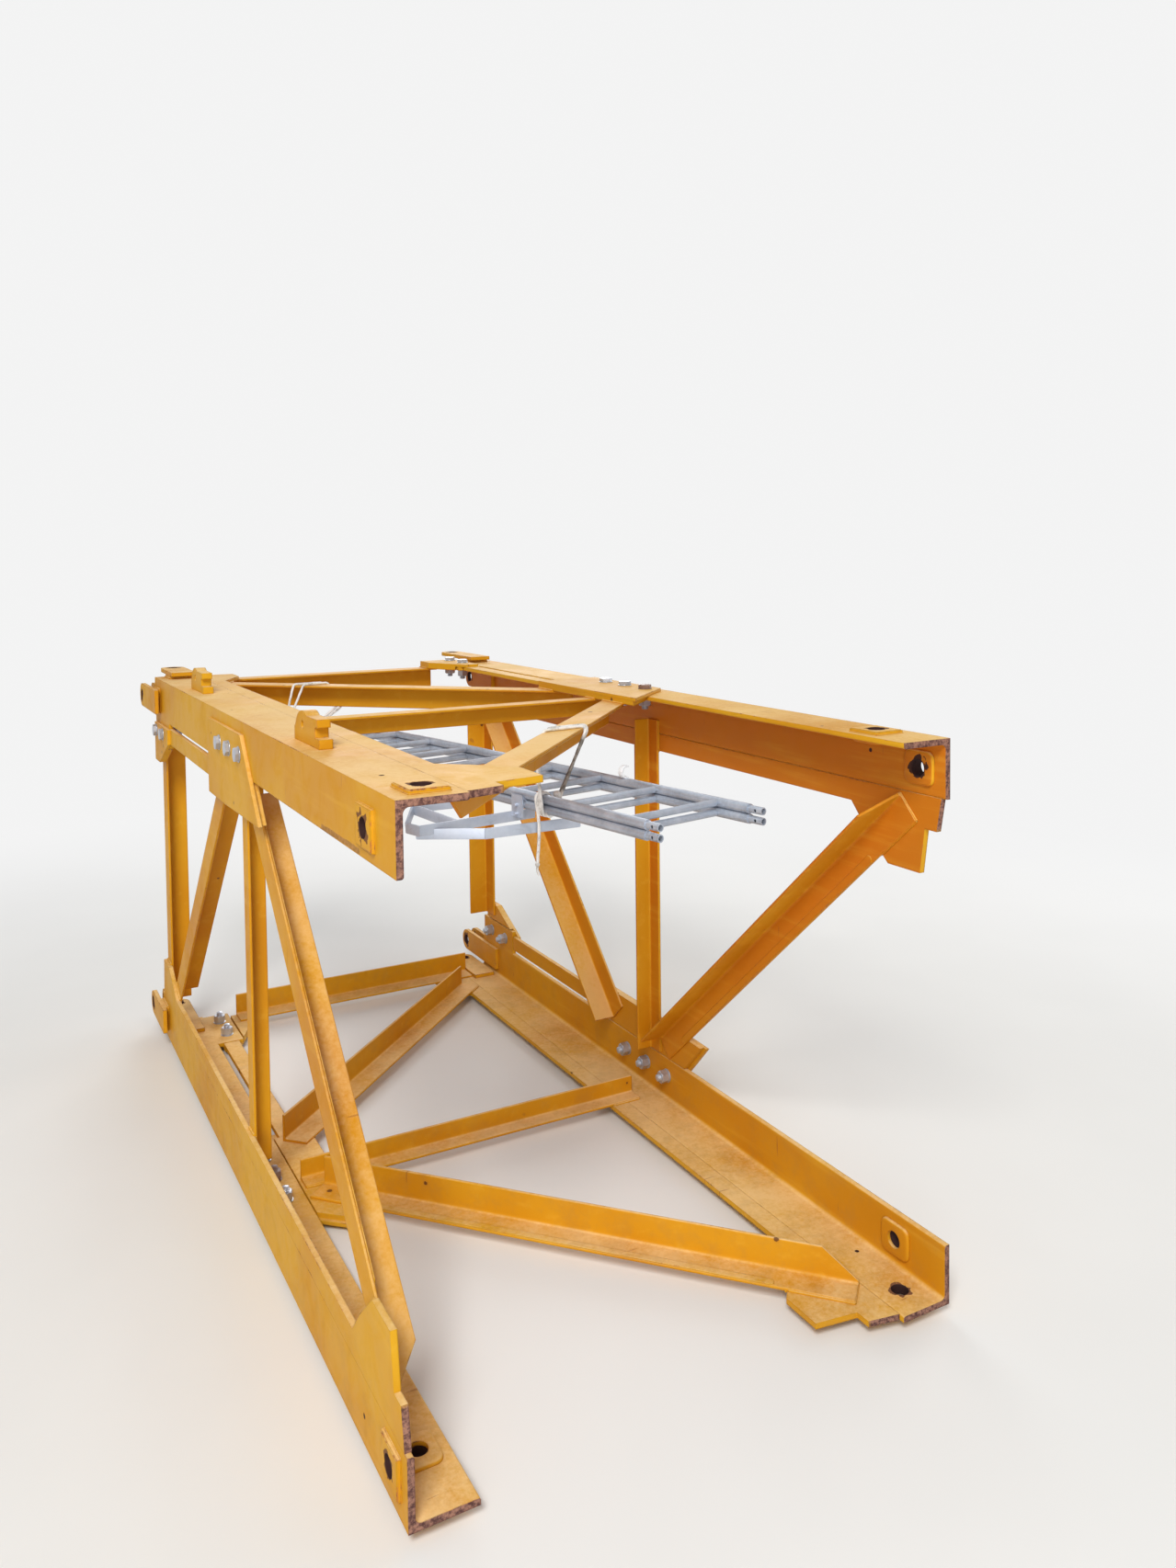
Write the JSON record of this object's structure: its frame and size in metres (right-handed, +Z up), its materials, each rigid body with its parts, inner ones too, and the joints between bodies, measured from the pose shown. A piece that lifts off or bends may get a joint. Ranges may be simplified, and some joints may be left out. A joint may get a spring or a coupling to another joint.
{
  "type": "tower crane mast section",
  "caption": "Open lattice mast section of angle steel with bolted braced sides, pin bores at one end, fishplates at the other and two ladders lashed inside",
  "frame": {"origin": "centre of the bounding box in plan, at the lowest point of the section as it lies", "axes": "+Y runs along the mast from the bored end to the fishplate end, +Z is up as the section lies on its flat side, +X is to the right seen from the bored end"},
  "size_m": [1.556, 3.228, 1.612],
  "materials": {
    "leg_yellow": "gloss-worn warm yellow paint with dust and rusty cut ends",
    "brace_yellow": "warm yellow-orange paint, chipped at edges",
    "zinc_grey": "dull hot-dip zinc",
    "rope_white": "grubby white rope"
  },
  "bodies": {
    "root": {"leg_tl": "leg_yellow", "leg_tr": "leg_yellow", "leg_br": "leg_yellow", "leg_bl": "leg_yellow", "fishplates_tl": "leg_yellow", "fishplates_tr": "leg_yellow", "fishplates_br": "leg_yellow", "fishplates_bl": "leg_yellow", "bolt_plate_top": "brace_yellow", "bolt_plate_right": "brace_yellow", "bolt_plate_bottom": "brace_yellow", "bolt_plate_left": "brace_yellow", "weld_plate_top": "brace_yellow", "weld_plate_right": "brace_yellow", "weld_plate_bottom": "brace_yellow", "weld_plate_left": "brace_yellow", "diag_near_top": "brace_yellow", "diag_near_right": "brace_yellow", "diag_near_bottom": "brace_yellow", "diag_near_left": "brace_yellow", "strut_top": "brace_yellow", "strut_right": "brace_yellow", "strut_bottom": "brace_yellow", "strut_left": "brace_yellow", "diag_far_top": "brace_yellow", "diag_far_right": "brace_yellow", "diag_far_bottom": "brace_yellow", "diag_far_left": "brace_yellow", "post_top": "brace_yellow", "post_right": "brace_yellow", "post_bottom": "brace_yellow", "post_left": "brace_yellow", "step_near": "brace_yellow", "step_far": "brace_yellow", "ladder_upper": "zinc_grey", "ladder_lower": "zinc_grey", "lashing_near": "rope_white", "lashing_far": "rope_white"}
  },
  "joints": []
}
